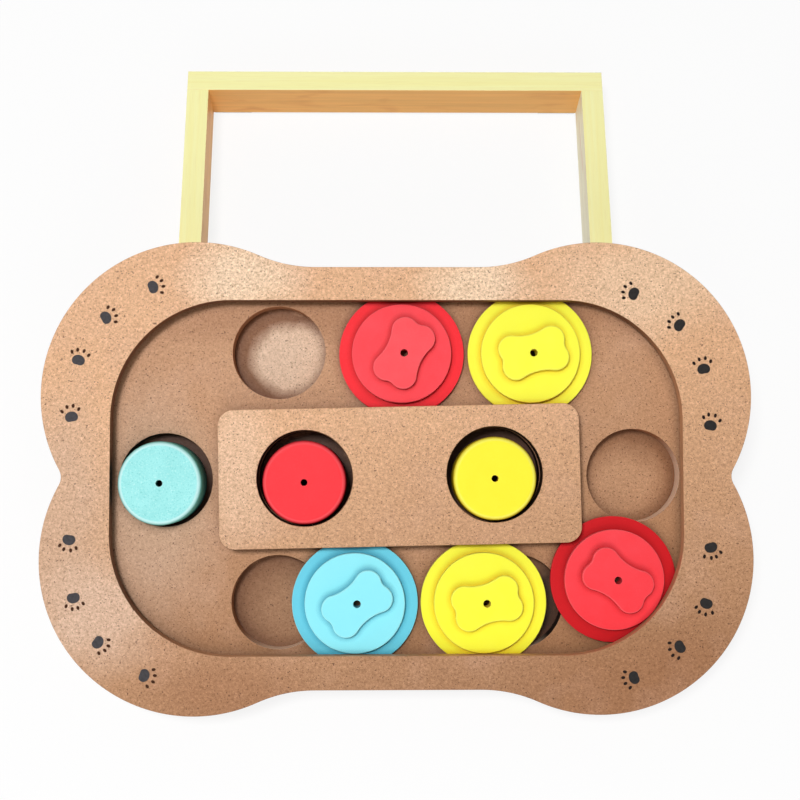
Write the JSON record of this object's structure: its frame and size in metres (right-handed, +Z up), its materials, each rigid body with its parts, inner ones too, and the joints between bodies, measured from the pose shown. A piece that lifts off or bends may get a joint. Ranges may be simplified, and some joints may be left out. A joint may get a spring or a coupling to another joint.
{
  "type": "dog puzzle feeder",
  "caption": "Bone-shaped fibreboard puzzle feeder with sliding discs captive in a track, lift-out cups, treat pockets and a folding pine stand.",
  "frame": {"origin": "on the table, under the middle of the object's box with the stand open", "axes": "+Z up; the tray's low front edge faces -Y and the stand points to +Y; +X runs to the right along the tray"},
  "size_m": [0.3574, 0.3554, 0.0755],
  "materials": {
    "fibreboard": "smooth fibreboard with fine specks",
    "fibreboard_inner": "smooth fibreboard with fine specks",
    "pine": "planed pale pine",
    "zinc_steel": "zinc plated",
    "rubber": "matt",
    "red_paint": "matt paint on fibreboard",
    "yellow_paint": "matt paint on fibreboard",
    "blue_paint": "matt paint on fibreboard",
    "aqua_paint": "thin matt paint on wood"
  },
  "bodies": {
    "tray": {"back_board": "fibreboard_inner", "pocket_board": "fibreboard_inner", "spacer_ring": "fibreboard_inner", "rim_ring": "fibreboard", "center_spacer": "fibreboard_inner", "center_plate": "fibreboard", "pivot_block_left": "pine", "pivot_block_right": "pine", "pivot_bolt_left": "zinc_steel", "pivot_bolt_right": "zinc_steel", "pivot_nut_left": "zinc_steel", "pivot_nut_right": "zinc_steel", "leg_washer_left": "zinc_steel", "leg_washer_right": "zinc_steel", "block_screws_left": "zinc_steel", "block_screws_right": "zinc_steel", "stop_wedge_left": "pine", "stop_wedge_right": "pine", "front_foot_left": "rubber", "front_foot_right": "rubber"},
    "stand": {"stand_leg_left": "pine", "stand_leg_right": "pine", "stand_crossbar": "pine", "crossbar_screw_left": "zinc_steel", "crossbar_screw_right": "zinc_steel", "rear_pad_left": "rubber", "rear_pad_right": "rubber"},
    "red_disc": {"red_disc_flange": "red_paint", "red_disc_raised": "red_paint", "red_disc_grip": "red_paint"},
    "yellow_disc": {"yellow_disc_flange": "yellow_paint", "yellow_disc_raised": "yellow_paint", "yellow_disc_grip": "yellow_paint"},
    "blue_disc": {"blue_disc_flange": "blue_paint", "blue_disc_raised": "blue_paint", "blue_disc_grip": "blue_paint"},
    "lower_yellow_disc": {"lower_yellow_disc_flange": "yellow_paint", "lower_yellow_disc_raised": "yellow_paint", "lower_yellow_disc_grip": "yellow_paint"},
    "corner_disc": {"corner_disc_flange": "red_paint", "corner_disc_raised": "red_paint", "corner_disc_grip": "red_paint"},
    "aqua_cup": {"aqua_cup": "aqua_paint"},
    "red_cup": {"red_cup": "red_paint"},
    "yellow_cup": {"yellow_cup": "yellow_paint"}
  },
  "joints": [
    {"name": "stand_fold", "type": "hinge", "parent": "tray", "child": "stand", "pos_m": [0, 0.01232, 0.02437], "axis": [-1, 0, 0], "range_deg": [0, 164.5]},
    {"name": "red_disc_slide", "type": "slide", "parent": "tray", "child": "red_disc", "axis": [-1, 0, 0], "range_m": [0, 0.0861]},
    {"name": "yellow_disc_slide", "type": "slide", "parent": "tray", "child": "yellow_disc", "axis": [1, 0, 0], "range_m": [0, 0.016]},
    {"name": "blue_disc_slide", "type": "slide", "parent": "tray", "child": "blue_disc", "axis": [-1, 0, 0], "range_m": [0, 0.06234]},
    {"name": "lower_yellow_disc_slide", "type": "slide", "parent": "tray", "child": "lower_yellow_disc", "axis": [-1, 0, 0], "range_m": [0, 0.06234]},
    {"name": "corner_disc_travel", "type": "hinge", "parent": "tray", "child": "corner_disc", "pos_m": [0.0838, -0.08778, 0.03425], "axis": [0, -0.203, 0.9792], "range_deg": [0, 42]},
    {"name": "aqua_cup_lift", "type": "slide", "parent": "tray", "child": "aqua_cup", "axis": [0, -0.203, 0.9792], "range_m": [0, 0.045]},
    {"name": "red_cup_lift", "type": "slide", "parent": "tray", "child": "red_cup", "axis": [0, -0.203, 0.9792], "range_m": [0, 0.045]},
    {"name": "yellow_cup_lift", "type": "slide", "parent": "tray", "child": "yellow_cup", "axis": [0, -0.203, 0.9792], "range_m": [0, 0.045]}
  ],
  "couplings": [
    {"joint": "lower_yellow_disc_slide", "follows": "blue_disc_slide", "ratio": 1}
  ]
}
